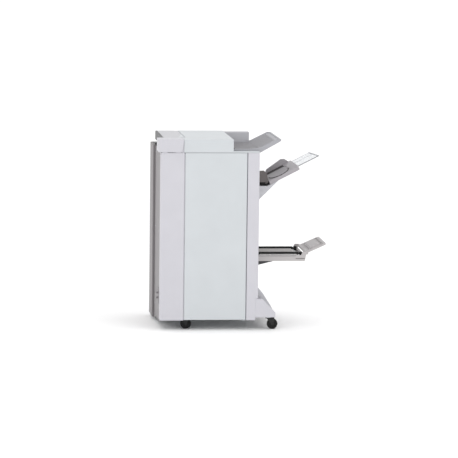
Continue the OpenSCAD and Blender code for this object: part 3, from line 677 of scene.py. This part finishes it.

# %% Bead round the bowl
# the bead's dark brown paints the line of shade at the bowl's rim
bpy.ops.object.select_all(action="DESELECT")
bpy.ops.mesh.primitive_torus_add(
    major_radius=BOWL_HALF_U * MM, minor_radius=3.4 * MM, major_segments=96,
    minor_segments=12, location=mm(0, 0, 10.4))
bead = settle("stacker_bowl_bead")
choose(bead, "faces", lambda c, n: c.y > 0)
bpy.ops.mesh.delete(type="FACE")
bpy.ops.mesh.select_all(action="SELECT")
bpy.ops.mesh.fill_holes(sides=0)
done()
bead.data.transform(stretch)
dress(laid_on_slope(bead), painted_shade_brown, "stacker")

# %% Pad of painted shade, and fence
PAD_START, PAD_STRIP, PAD_STRIPS = -190, 12.8, 10
# the pad's dark brown paints the band of shade along the back of the tray; its strips are
# raised
pad = slab("stacker_shade_pad", (PAD_START, 42, 10.5),
           (PAD_START + PAD_STRIPS * PAD_STRIP, 104, 12.6))
choose(pad, "faces", lambda c, n: n.z > 0.9)
bpy.ops.mesh.subdivide(number_cuts=PAD_STRIPS - 1)
done()
field(pad, lambda c, n: n.z > 0.9 and int((c.x - PAD_START) / PAD_STRIP) % 2 == 0, 0.8, 0.8)
dress(laid_on_slope(round_edges(pad, 0.4)), painted_shade_brown, "stacker")
moulded("stacker_fence", 3.0, 3, abs_brown)
fence_lo = box_mm("stacker_fence")[0]
ribs = [slab("rib", (fence_lo.x + 8, y, 897), (fence_lo.x + 50, y + 3, 926.5))
        for y in range(-150, 120, 30)]
dress(round_edges(joined("stacker_fence_ribs", ribs), 0.8), abs_brown, "stacker")
heel = slab("stacker_fence_heel", (fence_lo.x + 13, fence_lo.y - 2, 871.5),
            (fence_lo.x + 47, fence_lo.y + 36, 893.5))
dress(round_edges(heel, 3, 3), rubber_black, "stacker")

# %% Ribs under the stacker tray
under = [slab("rib", (-190, y, -14.5), (-20, y + 2.5, -10.8)) for y in range(-200, 140, 42)]
dress(laid_on_slope(round_edges(joined("stacker_under_ribs", under), 0.8)), abs_stack,
      "stacker")

# %% Clear extension with its rims
# low rims, so that they pass through the tray's slot; only the end lip is taller
RIM_FOOT, RIM_TOP, LIP_TOP = 4.6, 5.8, 8.5
rims = [slab("rim", (-64, y, RIM_FOOT), (length, y + wide, RIM_TOP))
        for y, wide, length in ((-169, 4, 139), (0, 4, 129), (119, 5, 121))]
end_lip = slab("lip", (129.5, -166, RIM_FOOT), (134, 124, LIP_TOP))
rims.append(turned(end_lip, 3.87, "Z", (132, -22, 0)))
dress(laid_on_slope(round_edges(joined("extension_rims", rims), 0.6)), frosted_grey,
      "extension")

# %% [markdown]
# ## The top tray
# Low ribs run along the top tray's surface in the way the paper goes. Each is
# one sheet bent where the tray bends, then thickened, and the rest are copies.

# %% Top tray ribs
rib_line = [(-58, 1100.4), (38, 1100.4), (95, 1106.4), (190, 1153.4)]
first_rib = bent_sheet("top_tray_ribs", rib_line, -252, -249, -1.8)
RIB_STEP = 48
ribs = [first_rib] + [copy_of(first_rib, (0, RIB_STEP * k, 0)) for k in range(1, 10)]
# the ribs take the darkened side grey, so the dark lines they draw on the tray are painted
# shade
dress(round_edges(joined("top_tray_ribs", ribs), 0.5), abs_side_painted_shade, "cabinet")
# the lip's dark brown paints the shadow that falls at the root of the tray
stop_lip = slab("top_tray_root_lip", (-64, -268, 1100), (-56, 220, 1108))
dress(round_edges(stop_lip, 1.5, 3), abs_brown, "cabinet")

# %% [markdown]
# ## The booklet tray
# Two black belts carry folded booklets out to the end flap. Each is drawn as
# a solid loop, and the shafts pass through it. Cross ribs on the outside keep
# a booklet from slipping.

# %% Booklet belts
BELT_Z, DRIVE_X, IDLER_X = 445, 112, 350
BELT_YS, BELT_HALF = (-154, 104), 11
belt_parts = []
for y in BELT_YS:
    loop = rod("belt", (DRIVE_X, y - BELT_HALF, BELT_Z), (DRIVE_X, y + BELT_HALF, BELT_Z),
               11.8, sides=48)
    choose(loop, "faces", lambda c, n: c.x > DRIVE_X + 0.2 and abs(n.y) < 0.5)
    bpy.ops.transform.translate(value=mm(IDLER_X - DRIVE_X, 0, 0))
    done()
    ribs = [slab("belt_rib", (x, y - BELT_HALF + 1, BELT_Z + 11.6),
                 (x + 3, y + BELT_HALF - 1, BELT_Z + 12.6)) for x in range(118, 346, 8)]
    belt_parts += [round_edges(loop, 1.0)] + ribs
belts = joined("booklet_belts_ribbed", belt_parts)
dress(belts, rubber_black, "cabinet", ["booklet_belts"])
print("belts", len(belts.data.polygons), "faces")

# %% Belt ends and slides
for name, y0, y1, top in (("booklet_stop_block", 90, 118, 459),
                          ("booklet_near_stop", -166, -142, 457.5)):
    stop = slab(name, (363.5, y0, 434), (381, y1, top))
    dress(round_edges(stop, 2.5, 3), rubber_black, "cabinet")
booklet_lo = box_mm("booklet_tray")[0]
# a dark strip laid on the side, not a cut: its colour paints the shade of a groove
groove = slab("booklet_side_groove_shade_strip", (332, booklet_lo.y + 0.8, 424.4),
              (387, booklet_lo.y + 3.2, 427.6))
dress(groove, abs_brown, "cabinet")
# the step takes the darkened side grey, whose darkness is painted shade
step = slab("booklet_side_step", (92, booklet_lo.y - 0.9, 440.5),
            (332, booklet_lo.y + 1, 444.5))
dress(round_edges(step, 0.7), abs_side_painted_shade, "cabinet")

# %% Deck between the belts
DECK_Z = 446.5
spans = ((booklet_lo.y + 1, -168), (-140, 90), (118, 149))
deck = [slab("deck", (DRIVE_X + 6, y0, DECK_Z - 2.5), (IDLER_X - 6, y1, DECK_Z))
        for y0, y1 in spans]
deck += [slab("rib", (DRIVE_X + 12, y, DECK_Z - 0.5), (IDLER_X - 12, y + 3, DECK_Z + 1.8))
         for y in range(-126, 84, 22)]
dress(round_edges(joined("booklet_deck", deck), 0.8), abs_deck, "cabinet")

# %% [markdown]
# ## The end flap
# The flap's back has a raised field. On a rounded copy of the flap a thin slab
# with a sunk middle is laid, tipped by the flap's angle about its hinge.

# %% End flap
FLAP_REST, FLAP_MIDDLE, FLAP_HINGE = -24, -40, (400, 0, 459)
moulded("booklet_end_flap", 2.2, 3)
flap_field = slab("end_flap_field", (424, FLAP_MIDDLE - 136, 463.8),
                  (516, FLAP_MIDDLE + 136, 466))
field(flap_field, lambda c, n: n.z > 0.9, 7, -1.8)
field(flap_field, lambda c, n: n.z > 0.9 and abs(c.y - FLAP_MIDDLE) < 5, 9, 3)
round_edges(flap_field, 0.8)
dress(turned(flap_field, FLAP_REST, "Y", FLAP_HINGE), abs_taupe, "booklet_flap")

# %% [markdown]
# ## Shafts and rollers
# Each shaft is a ground steel bar, sized by the frame. The four that carry
# single sheets have rubber rollers and a white toothed pulley at the back. Two
# shafts have a green knob in front, with which a jammed sheet is wound out.

# %% Axle of a part
def axle(node_name):
    """Where a shaft lies: x, z, its front end and its back end, in millimetres."""
    low, high = box_mm(node_name)
    return (low.x + high.x) / 2, (low.z + high.z) / 2, low.y, high.y


def bar_along(name, x, z, y0, y1, radius, sides=32):
    """A round bar along Y with slightly broken edges."""
    return round_edges(rod(name, (x, y0, z), (x, y1, z), radius, sides), 0.5, 1)


def pulley(name, x, z, y0, y1, radius, teeth=20):
    """A toothed pulley with a thin flange at each side."""
    wheel = toothed(name, (x, y0 + 1, z), (x, y1 - 1, z), radius - 0.6, teeth, 1.0)
    flanges = [rod("flange", (x, y, z), (x, y + 1, z), radius, 40) for y in (y0, y1 - 1)]
    hub = rod("hub", (x, y1 - 1, z), (x, y1 + 2, z), radius * 0.5, 24)
    return joined(name, [wheel, hub] + flanges)


# %% Rollers on their shafts
PLATE_FRONT = -268  # y where the steel shafts start and the knobs end
SHAFT_RADIUS, ROLLER_RADIUS, ROLLER_HALF = 3.95, 12, 13
roller_ys = (-141, -57, 27, 111)
for node_name, body in (
        ("entry_shaft", "entry_roller"), ("transport_shaft", "transport_roller"),
        ("top_exit_shaft", "top_exit_roller"), ("eject_shaft", "eject_roller")):
    x, z, front, back = axle(node_name)
    steel = bar_along(node_name + "_steel", x, z, max(front, PLATE_FRONT), back,
                      SHAFT_RADIUS)
    dress(steel, steel_ground, body, [node_name])
    first = rod(node_name + "_rollers", (x, roller_ys[0] - ROLLER_HALF, z),
                (x, roller_ys[0] + ROLLER_HALF, z), ROLLER_RADIUS - 0.1, 40)
    round_edges(first, 1.2, 2)
    field(first, lambda c, n: abs(n.y) > 0.9, 3.5, -1.5)
    tyres = [first] + [copy_of(first, (0, y - roller_ys[0], 0)) for y in roller_ys[1:]]
    dress(joined(node_name + "_rollers", tyres), rubber_grey, body)
    dress(pulley(node_name + "_pulley", x, z, 246, 256, ROLLER_RADIUS), nylon_white,
          body)

# %% Fold rollers
for node_name, body in (("fold_roller_upper", "fold_roller_top"),
                        ("fold_roller_lower", "fold_roller_bottom")):
    x, z, front, back = axle(node_name)
    steel = bar_along(node_name + "_steel", x, z, max(front, PLATE_FRONT), back,
                      SHAFT_RADIUS)
    dress(steel, steel_ground, body, [node_name])
    skin = bar_along(node_name + "_skin", x, z, -195, 165, 14.9, 48)
    field(skin, lambda c, n: abs(n.y) > 0.9, 4, -2)
    dress(skin, rubber_grey, body)

# %% Knobs that wind out a jammed sheet
for node_name, body, grip in (("transport_shaft", "transport_roller", 17),
                              ("fold_roller_upper", "fold_roller_top", 14)):
    x, z, front, back = axle(node_name)
    knob = toothed(node_name + "_knob", (x, front, z), (x, PLATE_FRONT, z), grip, 14, 1.6)
    field(knob, lambda c, n: n.y < -0.9, 3, -2)
    dress(round_edges(knob, 0.6), abs_green, body)

# %% Shafts of the booklet belts
for node_name, body in (("belt_drive_shaft", "belt_drive"),
                        ("belt_idler_shaft", "belt_idler")):
    x, z, front, back = axle(node_name)
    steel = bar_along(node_name + "_steel", x, z, front, back, 2.95)
    dress(steel, steel_ground, body, [node_name])
    wheels = [toothed("wheel", (x, y - 9.5, z), (x, y + 9.5, z), 9.9, 18, 0.8)
              for y in BELT_YS]
    dress(joined(node_name + "_pulleys", wheels), nylon_white, body)

# %% Lift shaft
LIFT_YS, LIFT_LOW = (-194, 162), 150
x, lift_top, front, back = axle("lift_shaft")
dress(bar_along("lift_shaft_steel", x, lift_top, front, back, SHAFT_RADIUS),
      steel_ground, "lift_drive", ["lift_shaft"])
lift_wheels = [toothed("wheel", (x, y - 7.5, lift_top), (x, y + 7.5, lift_top), 14.9, 24,
                       1.0) for y in LIFT_YS]
lift_wheels.append(toothed("gear", (x, 246, lift_top), (x, 254, lift_top), 20, 36, 1.8))
dress(joined("lift_shaft_pulleys", lift_wheels), nylon_white, "lift_drive")

# %% Lift belts
lift_belts = []
for y in LIFT_YS:
    loop = rod("belt", (x, y - 6, LIFT_LOW), (x, y + 6, LIFT_LOW), 16.8, 48)
    inner = rod("inner", (x, y - 7, LIFT_LOW), (x, y + 7, LIFT_LOW), 15.4, 48)
    for ring in (loop, inner):
        choose(ring, "faces", lambda c, n: c.z > LIFT_LOW + 0.2 and abs(n.y) < 0.5)
        bpy.ops.transform.translate(value=mm(0, 0, lift_top - LIFT_LOW))
        done()
    lift_belts.append(cut(loop, inner))
dress(joined("lift_belts", lift_belts), rubber_black, "cabinet",
      ["drive_motor"])
low_wheels = [toothed("wheel", (x, y - 6, LIFT_LOW), (x, y + 6, LIFT_LOW), 15.2, 24, 1.0)
              for y in LIFT_YS]
dress(joined("lift_idlers", low_wheels), nylon_white, "cabinet")
dress(bar_along("lift_idler_axle", x, LIFT_LOW, -260, 238, 4), steel_ground, "cabinet")

# %% Motors
for index, (mx, mz) in enumerate(((-200, 980), (-80, 1000))):
    can = rod(f"motor_can_{index}", (mx, 252, mz), (mx, 289.5, mz), 28, 48)
    field(can, lambda c, n: n.y > 0.9, 6, -2.5)
    field(can, lambda c, n: n.y > 0.9 and math.dist((c.x, c.z), (mx, mz)) < 2, 12, 3)
    dress(round_edges(can, 1.2), steel_black, "cabinet")
    base = slab(f"motor_plate_{index}", (mx - 34, 240, mz - 34), (mx + 34, 249, mz + 34))
    choose(base, "edges", lambda c, w: abs(w.y) > 0.9)
    bpy.ops.mesh.bevel(offset=8 * MM, segments=4)
    done()
    field(base, lambda c, n: n.y > 0.9, 3, 3)
    dress(round_edges(base, 0.6), steel_sheet, "cabinet")
    screws(f"motor_screws_{index}", 3.2,
           [(mx + dx, 252, mz + dz) for dx in (-25, 25) for dz in (-25, 25)],
           (0, 1, 0), "cabinet")

# %% [markdown]
# ## Casters
# The frame's wheels already have the right tread and bore. Their edges are
# rounded, a hub disc with five holes is pressed into each side, and the axle
# gets hexagonal nuts. One hub and one nut are modelled; the others are copies.
# Hub and bearing race have no bore: the axle and the stem pass through them.

# %% Hubs, forks and nuts
hub = rod("hub", (0, 7.6, 0), (0, 9.4, 0), 21.5, 48)
field(hub, lambda c, n: n.y > 0.9, 3, -0.8)
field(hub, lambda c, n: n.y > 0.9 and math.hypot(c.x, c.z) < 2, 9, 1.6)
HOLES, HOLE_OUT = 5, 14
for k in range(HOLES):
    turn = math.radians(360 / HOLES * k)
    hole_x, hole_z = HOLE_OUT * math.cos(turn), HOLE_OUT * math.sin(turn)
    cut(hub, rod("hole", (hole_x, 7, hole_z), (hole_x, 10, hole_z), 3, 16))
round_edges(hub, 0.3, 1)
nut = rod("nut", (0, 15, 0), (0, 18.4, 0), 7, 6)
round_edges(nut, 0.5, 1)
for place in ("front_left", "front_right", "rear_left", "rear_right"):
    moulded("caster_wheel_" + place, 1.0, 2, rubber_black)
    moulded("caster_fork_" + place, 0.6, 2, steel_black)
    x, z, front, back = axle("caster_wheel_" + place)
    y = (front + back) / 2
    hubs = [copy_of(hub), turned(copy_of(hub), 180, "Z", (0, 0, 0))]
    nuts = [copy_of(nut), turned(copy_of(nut), 180, "Z", (0, 0, 0))]
    for part in hubs + nuts:
        part.data.transform(Matrix.Translation(mm(x, y, z)))
    dress(joined("caster_hub_" + place, hubs), rubber_black, "wheel_" + place)
    dress(joined("caster_nuts_" + place, nuts), steel_black, "fork_" + place)
    race = rod("caster_race_" + place, (x - 24, y, 71.8), (x - 24, y, 76), 21, 48)
    field(race, lambda c, n: n.z < -0.9, 3, -0.8)
    dress(round_edges(race, 1.2), steel_sheet, "cabinet")
for temporary in (hub, nut):
    bpy.data.objects.remove(temporary)
moulded("caster_plates", 0.6, 2, steel_black)

# %% [markdown]
# ## Stapler, punch and compiler
# These sit behind the front side plate, and only parts of them show through
# its windows when the door is open. The moving stapler has a cartridge with a
# sunk grip, and the punch a motor with its cam wheel.

# %% Stapler
head_lo, head_hi = box_mm("stapler_head")
cartridge = slab("stapler_cartridge", (head_lo.x + 28, head_lo.y - 3, head_hi.z - 96),
                 (head_hi.x + 4, head_hi.y + 3, head_hi.z - 74))
field(cartridge, lambda c, n: n.x > 0.9, 4, -2)
dress(round_edges(cartridge, 1.2), abs_green, "stapler")
PLATE_THICK = 1.5
plates = [slab("plate", (head_lo.x + 6, y, head_lo.z + 34),
               (head_lo.x + 60, y + PLATE_THICK, head_hi.z - 78))
          for y in (head_lo.y - PLATE_THICK, head_hi.y)]
dress(round_edges(joined("stapler_side_plates", plates), 0.4, 1), steel_sheet, "stapler")
for tamper in ("front_tamper", "rear_tamper"):
    moulded(tamper, 0.8, 2)

# %% Punch
moulded("punch_unit", 0.8, 2, steel_sheet)
PUNCH_X = -300
punch_motor = rod("punch_motor", (PUNCH_X, 176, 1037), (PUNCH_X, 222, 1037), 13, 32)
field(punch_motor, lambda c, n: n.y > 0.9, 4, 2)
dress(round_edges(punch_motor, 1), steel_black, "cabinet")
cam = toothed("punch_cam", (PUNCH_X, 158, 1065), (PUNCH_X, 166, 1065), 11, 18, 1.5)
dress(cam, nylon_white, "cabinet")

# %% Booklet staplers on the booklet guide
moulded("booklet_guide", 0.5, 1, steel_sheet)
units = []
for y in (-83, 29):
    unit = slab("unit", (-44, y, 560), (-24, y + 26, 640))
    units.append(field(unit, lambda c, n: n.x > 0.9, 4, -3))
dress(round_edges(joined("booklet_staplers", units), 1.5), abs_dark, "cabinet")
# the bracket takes the darkened side grey to blend into the shaded side: painted shade
moulded("docking_bracket", 0.5, 1, abs_side_painted_shade)
for plain in ("compiler_tray", "door_hinges", "fold_knife",
              "stacker_carriage", "elevator_rails", "cross_stays", "entry_guides"):
    moulded(plain, 0.5, 1)

# %% [markdown]
# ## Electrics behind the rear side plate
# A steel power supply with a grille, and a control board with chips,
# capacitors and plugs. Wires run from them to the motors and the socket.

# %% Power supply
REAR_PLATE = 240  # outer face of the rear side plate
psu = slab("power_supply", (-470, REAR_PLATE, 120), (-250, REAR_PLATE + 64, 300))
field(psu, lambda c, n: n.y > 0.9, 6, -1.2)
for z in range(160, 261, 20):
    cut(psu, slab("slot", (-440, 300, z), (-370, 306, z + 6)))
dress(round_edges(psu, 1.0), steel_sheet, "cabinet", ["power_and_control"])
fan = rod("power_supply_fan", (-310, 302, 210), (-310, 306, 210), 32, 48)
field(fan, lambda c, n: n.y > 0.9, 3, -2)
dress(fan, abs_dark, "cabinet")

# %% Control board
BOARD_Y = 252  # the board's face
board = slab("control_board", (-460, BOARD_Y - 2, 520), (-240, BOARD_Y, 860))
dress(board, board_green, "cabinet")
chips = []
for z in range(560, 801, 60):
    chip = slab("chip", (-440, BOARD_Y, z), (-400, BOARD_Y + 4, z + 40))
    chips.append(field(round_edges(chip, 0.5, 1), lambda c, n: n.y > 0.9, 2, -0.4))
    chips.append(slab("chip", (-372, BOARD_Y, z + 6), (-352, BOARD_Y + 3, z + 26)))
dress(joined("board_chips", chips), abs_dark, "cabinet")
cans = [round_edges(rod("can", (x, BOARD_Y, z), (x, BOARD_Y + 16, z), 8, 24), 1.5)
        for x in (-318, -296, -274) for z in (640, 664)]
dress(joined("board_capacitors", cans), steel_black, "cabinet")
plugs = [round_edges(slab("plug", (x, BOARD_Y, z), (x + 20, BOARD_Y + 12, z + 10)), 0.8)
         for x in (-330, -304, -278) for z in (540, 560, 830)]
dress(joined("board_plugs", plugs), nylon_white, "cabinet")
posts = [rod("post", (x, REAR_PLATE, z), (x, BOARD_Y + 3, z), 3.5, 12)
         for x in (-452, -248) for z in (528, 852)]
dress(joined("board_posts", posts), steel_ground, "cabinet")

# %% Socket and wiring
socket = slab("interface_socket", (-128, REAR_PLATE, 132), (-88, 336, 156))
field(socket, lambda c, n: n.y > 0.9, 3, -8)
dress(round_edges(socket, 0.8), abs_dark, "cabinet")
pins = [rod("pin", (x, 327, z), (x, 333, z), 1, 10) for x in range(-120, -92, 6)
        for z in (139, 149)]
dress(joined("socket_pins", pins), steel_ground, "cabinet")
wire_runs = (
    ((-260, 306, 280), (-236, 290, 400), (-300, 262, 545)),
    ((-274, 262, 835), (-236, 262, 900), (-200, 262, 952)),
    ((-300, 262, 835), (-180, 268, 880), (-80, 262, 972)),
    ((-250, 290, 180), (-190, 282, 150), (-128, 280, 144)),
    ((-278, 262, 545), (-160, 262, 400), (-108, 262, 156)))
for index, run in enumerate(wire_runs):
    wire(f"wire_{index}", run, 2.2, (wire_red, rubber_black)[index % 2])

# %% [markdown]
# ## Where the paper passes
# Brushes take static off the sheets at the stacker exit, and brush strips
# close the slots in which the stacker's arms travel.

# %% Brushes
slot_brushes = [slab("strip", (84.5, y, 498), (88.5, y + 2.4, 859))
                for middle in (-170, 100) for y in (middle - 9, middle + 6.6)]
dress(joined("arm_slot_brushes", slot_brushes), rubber_black, "cabinet")
COMB_START, COMB_END, TUFTS = -184, 154, 84
tuft = (COMB_END - COMB_START) / TUFTS
comb = slab("exit_brush", (85, COMB_START, 1030), (88, COMB_END, 1041))
choose(comb, "edges", lambda c, w: abs(w.y) > 0.9)
bpy.ops.mesh.subdivide(number_cuts=TUFTS - 1)
done()
choose(comb, "faces", lambda c, n: n.z < -0.9 and int((c.y - COMB_START) / tuft) % 2 == 0)
bpy.ops.mesh.extrude_region_move(TRANSFORM_OT_translate={"value": mm(0, 0, -8)})
done()
dress(comb, rubber_black, "cabinet")

# %% Entry ribs
ribs = [slab("rib", (-508, y, 1096), (-467, y + 2, 1100)) for y in range(-170, 160, 32)]
dress(round_edges(joined("entry_ribs", ribs), 0.5), abs_dark, "cabinet")

# %% [markdown]
# ## Floor, light and camera
# A plain pale floor runs far past the view, so no horizon shows. One broad
# soft light stands in front and above on the right, one fills from the left,
# and the pale surroundings do the rest, as in a product studio.

# %% Floor
bpy.ops.object.select_all(action="DESELECT")
bpy.ops.mesh.primitive_plane_add(size=160)
floor = settle("studio_floor")
floor_paint = surface("floor_paint_pale", "FDFDFD", 0.8, 6.0, 0.02, mottle=0.0)
floor.data.materials.append(floor_paint)

# %% Lights
def softbox(name, place, aim, size, watts):
    """A square soft light that faces a point."""
    data = bpy.data.lights.new(name, "AREA")
    data.size = size
    data.energy = watts
    lamp = bpy.data.objects.new(name, data)
    lamp.location = place
    lamp.rotation_euler = (Vector(aim) - Vector(place)).to_track_quat("-Z", "Y").to_euler()
    bpy.context.scene.collection.objects.link(lamp)


middle = (0, 0, 0.6)
softbox("key_light", (3.2, -4.6, 4.2), middle, size=3.6, watts=55)
softbox("fill_light", (-4.5, -3.5, 2.6), middle, size=2.5, watts=30)
world = bpy.data.worlds.new("studio")
bpy.context.scene.world = world
world.use_nodes = True
sky = world.node_tree.nodes["Background"]
sky.inputs["Color"].default_value = linear("FFFFFF")
sky.inputs["Strength"].default_value = 1.12
bpy.context.scene.view_settings.view_transform = "Standard"

# %% Camera
camera_place = Vector((-1.8118, -15.9031, 2.5448))
yaw, pitch, roll = (math.radians(a) for a in (-6.3, 7.0, 0.7))
forward = Vector((-math.sin(yaw) * math.cos(pitch), math.cos(yaw) * math.cos(pitch),
                  -math.sin(pitch)))
level_right = Vector((math.cos(yaw), math.sin(yaw), 0))
level_up = level_right.cross(forward)
right = level_right * math.cos(roll) + level_up * math.sin(roll)
up = right.cross(forward)
camera_data = bpy.data.cameras.new("camera")
camera_data.lens = 204.5
camera_data.clip_end = 200
camera = bpy.data.objects.new("camera", camera_data)
camera.matrix_world = Matrix.Translation(camera_place) @ Matrix(
    (right, up, -forward)).transposed().to_4x4()
bpy.context.scene.collection.objects.link(camera)
bpy.context.scene.camera = camera
print("camera", [round(v, 3) for v in camera_place])
